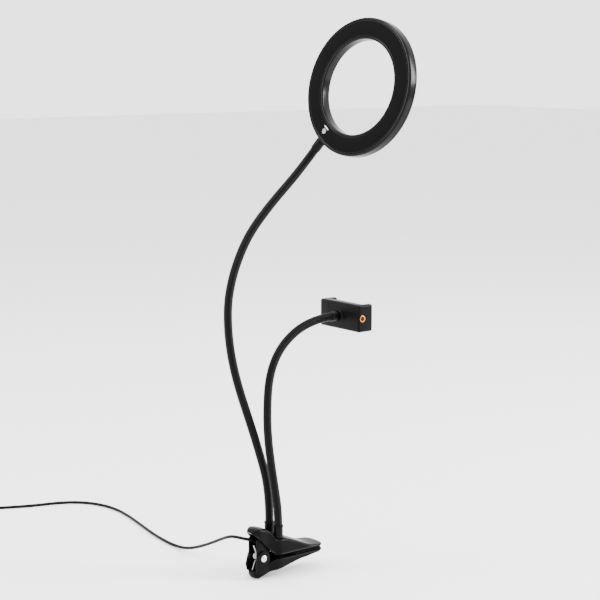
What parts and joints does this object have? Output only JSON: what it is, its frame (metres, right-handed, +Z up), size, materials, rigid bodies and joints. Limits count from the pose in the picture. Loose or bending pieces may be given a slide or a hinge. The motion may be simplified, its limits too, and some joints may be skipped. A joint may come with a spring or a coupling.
{
  "type": "clip-on ring light",
  "caption": "Clip-on ring light on a long gooseneck, with a spring phone holder on a short gooseneck, a spring clamp and a USB cord.",
  "frame": {"origin": "middle of the clamp's mouth, halfway between the closed jaw pads", "axes": "+X the way the jaws, the light and the phone holder face, +Y across the clamp, +Z up along the necks"},
  "size_m": [0.4233, 0.6383, 0.6792],
  "materials": {
    "clamp_plastic": "satin black moulded plastic",
    "jaw_rubber": "matt ribbed rubber",
    "bright_steel": "polished",
    "zinc_steel": "zinc plated",
    "neck_metal": "black lacquered wound wire",
    "ferrule_metal": "satin black",
    "ring_plastic": "fine textured black back, satin rims",
    "diffuser_plastic": "opal",
    "board": "white solder mask",
    "led": "phosphor",
    "holder_plastic": "satin black moulded plastic",
    "brass": "turned",
    "cord_rubber": "satin black jacket",
    "remote_plastic": "fine textured black",
    "button_rubber": "matt grey",
    "plug_metal": "nickel plated"
  },
  "bodies": {
    "root": {"clamp_upper_shell": "clamp_plastic", "cord_grommet": "cord_rubber", "cover_screws": "zinc_steel", "long_base_ferrule": "ferrule_metal", "long_ferrule_nut": "zinc_steel", "long_neck_link_0": "neck_metal", "pivot_pin": "bright_steel", "remote_board": "board", "remote_lower_shell": "remote_plastic", "remote_upper_shell": "remote_plastic", "short_base_ferrule": "ferrule_metal", "short_ferrule_nut": "zinc_steel", "short_neck_link_0": "neck_metal", "torsion_spring": "zinc_steel", "upper_jaw_pad": "jaw_rubber", "usb_cord": "cord_rubber", "usb_cord_coil": "cord_rubber", "usb_cord_end": "cord_rubber", "usb_cord_tail": "cord_rubber", "usb_plug_grip": "cord_rubber", "usb_plug_shell": "plug_metal", "usb_plug_tongue": "cord_rubber", "wiring_cover": "clamp_plastic"},
    "clamp_lower": {"clamp_lower_shell": "clamp_plastic", "lower_jaw_pad": "jaw_rubber"},
    "long_neck_1": {"long_neck_link_1": "neck_metal"},
    "long_neck_2": {"long_neck_link_2": "neck_metal"},
    "long_neck_3": {"long_neck_link_3": "neck_metal"},
    "long_neck_4": {"long_neck_link_4": "neck_metal"},
    "long_neck_5": {"long_neck_link_5": "neck_metal"},
    "long_neck_6": {"long_neck_link_6": "neck_metal"},
    "long_neck_7": {"long_neck_link_7": "neck_metal"},
    "ring_head": {"long_neck_link_8": "neck_metal", "ring_collar": "ferrule_metal", "ring_collar_nut": "zinc_steel", "ring_diffuser": "diffuser_plastic", "ring_led_board": "board", "ring_leds": "led", "ring_rear_housing": "ring_plastic", "ring_standoffs": "ring_plastic"},
    "short_neck_1": {"short_neck_link_1": "neck_metal"},
    "short_neck_2": {"short_neck_link_2": "neck_metal"},
    "short_neck_3": {"short_neck_link_3": "neck_metal"},
    "short_neck_4": {"short_neck_link_4": "neck_metal"},
    "phone_holder": {"short_neck_link_5": "neck_metal", "holder_body": "holder_plastic", "holder_socket": "ferrule_metal", "tripod_insert": "brass", "guide_rods": "zinc_steel", "jaw_springs": "zinc_steel", "fixed_jaw_pad": "jaw_rubber", "back_pad": "jaw_rubber"},
    "holder_jaw": {"sliding_jaw": "holder_plastic", "sliding_jaw_pad": "jaw_rubber"},
    "power_button": {"remote_power_button": "button_rubber"},
    "dimmer_button": {"remote_dimmer_button": "button_rubber"},
    "colour_button": {"remote_colour_button": "button_rubber"}
  },
  "joints": [
    {"name": "long_neck_bend", "type": "hinge", "parent": "root", "child": "long_neck_1", "pos_m": [-0.03089, 0.00964, 0.06194], "axis": [-0.0035, 0.9994, 0.0354], "range_deg": [-12, 12]},
    {"name": "long_neck_bend_1", "type": "hinge", "parent": "long_neck_1", "child": "long_neck_2", "pos_m": [-0.04558, 0.00815, 0.12576], "axis": [-0.003, 1, 0.009], "range_deg": [-12, 12]},
    {"name": "long_neck_sway", "type": "hinge", "parent": "long_neck_2", "child": "long_neck_3", "pos_m": [-0.06752, 0.00799, 0.1877], "axis": [0.9389, 0, 0.3441], "range_deg": [-12, 12]},
    {"name": "long_neck_bend_3", "type": "hinge", "parent": "long_neck_3", "child": "long_neck_4", "pos_m": [-0.0865, 0.00803, 0.25054], "axis": [-0.0007, 1, 0.0035], "range_deg": [-12, 12]},
    {"name": "long_neck_sway_4", "type": "hinge", "parent": "long_neck_4", "child": "long_neck_5", "pos_m": [-0.09076, 0.00883, 0.31579], "axis": [0.9918, 0, -0.1277], "range_deg": [-12, 12]},
    {"name": "long_neck_bend_5", "type": "hinge", "parent": "long_neck_5", "child": "long_neck_6", "pos_m": [-0.06647, 0.01579, 0.37569], "axis": [-0.1021, 0.9842, -0.1448], "range_deg": [-12, 12]},
    {"name": "long_neck_sway_6", "type": "hinge", "parent": "long_neck_6", "child": "long_neck_7", "pos_m": [-0.02094, 0.02775, 0.42118], "axis": [0.6215, 0, -0.7834], "range_deg": [-12, 12]},
    {"name": "long_neck_bend_7", "type": "hinge", "parent": "long_neck_7", "child": "ring_head", "pos_m": [0.02856, 0.03028, 0.46396], "axis": [-0.0609, 0.9969, -0.0501], "range_deg": [-12, 12]},
    {"name": "short_neck_bend", "type": "hinge", "parent": "root", "child": "short_neck_1", "pos_m": [-0.03182, -0.00891, 0.06195], "axis": [0.0012, 0.9999, -0.0108], "range_deg": [-12, 12]},
    {"name": "short_neck_bend_1", "type": "hinge", "parent": "short_neck_1", "child": "short_neck_2", "pos_m": [-0.04158, -0.00805, 0.12463], "axis": [0.0011, 1, -0.0076], "range_deg": [-12, 12]},
    {"name": "short_neck_sway", "type": "hinge", "parent": "short_neck_2", "child": "short_neck_3", "pos_m": [-0.04565, -0.008, 0.18786], "axis": [0.9995, 0, -0.031], "range_deg": [-12, 12]},
    {"name": "short_neck_bend_3", "type": "hinge", "parent": "short_neck_3", "child": "short_neck_4", "pos_m": [-0.03135, -0.008, 0.24883], "axis": [0, 1, 0], "range_deg": [-12, 12]},
    {"name": "short_neck_sway_4", "type": "hinge", "parent": "short_neck_4", "child": "phone_holder", "pos_m": [0.01936, -0.008, 0.28454], "axis": [0.2554, 0, -0.9668], "range_deg": [-12, 12]},
    {"name": "clamp_jaw", "type": "hinge", "parent": "root", "child": "clamp_lower", "pos_m": [-0.054, 0, 0], "axis": [0, 1, 0], "range_deg": [0, 40], "stiffness_Nm_per_rad": 1, "springref_deg": -28.65},
    {"name": "holder_jaw_slide", "type": "slide", "parent": "phone_holder", "child": "holder_jaw", "axis": [0, 1, 0], "range_m": [0, 0.028], "stiffness_N_per_m": 300, "springref_m": -0.01},
    {"name": "remote_power_press", "type": "slide", "parent": "root", "child": "power_button", "axis": [0, 0, -1], "range_m": [0, 0.0006], "stiffness_N_per_m": 2500, "springref_m": -0.0002},
    {"name": "remote_dimmer_press", "type": "slide", "parent": "root", "child": "dimmer_button", "axis": [0, 0, -1], "range_m": [0, 0.0006], "stiffness_N_per_m": 2500, "springref_m": -0.0002},
    {"name": "remote_colour_press", "type": "slide", "parent": "root", "child": "colour_button", "axis": [0, 0, -1], "range_m": [0, 0.0006], "stiffness_N_per_m": 2500, "springref_m": -0.0002}
  ],
  "couplings": [
    {"joint": "long_neck_bend_1", "follows": "long_neck_bend", "ratio": 1},
    {"joint": "long_neck_bend_3", "follows": "long_neck_bend", "ratio": 1},
    {"joint": "long_neck_sway_4", "follows": "long_neck_sway", "ratio": 1},
    {"joint": "long_neck_bend_5", "follows": "long_neck_bend", "ratio": 1},
    {"joint": "long_neck_sway_6", "follows": "long_neck_sway", "ratio": 1},
    {"joint": "long_neck_bend_7", "follows": "long_neck_bend", "ratio": 1},
    {"joint": "short_neck_bend_1", "follows": "short_neck_bend", "ratio": 1},
    {"joint": "short_neck_bend_3", "follows": "short_neck_bend", "ratio": 1},
    {"joint": "short_neck_sway_4", "follows": "short_neck_sway", "ratio": 1}
  ]
}
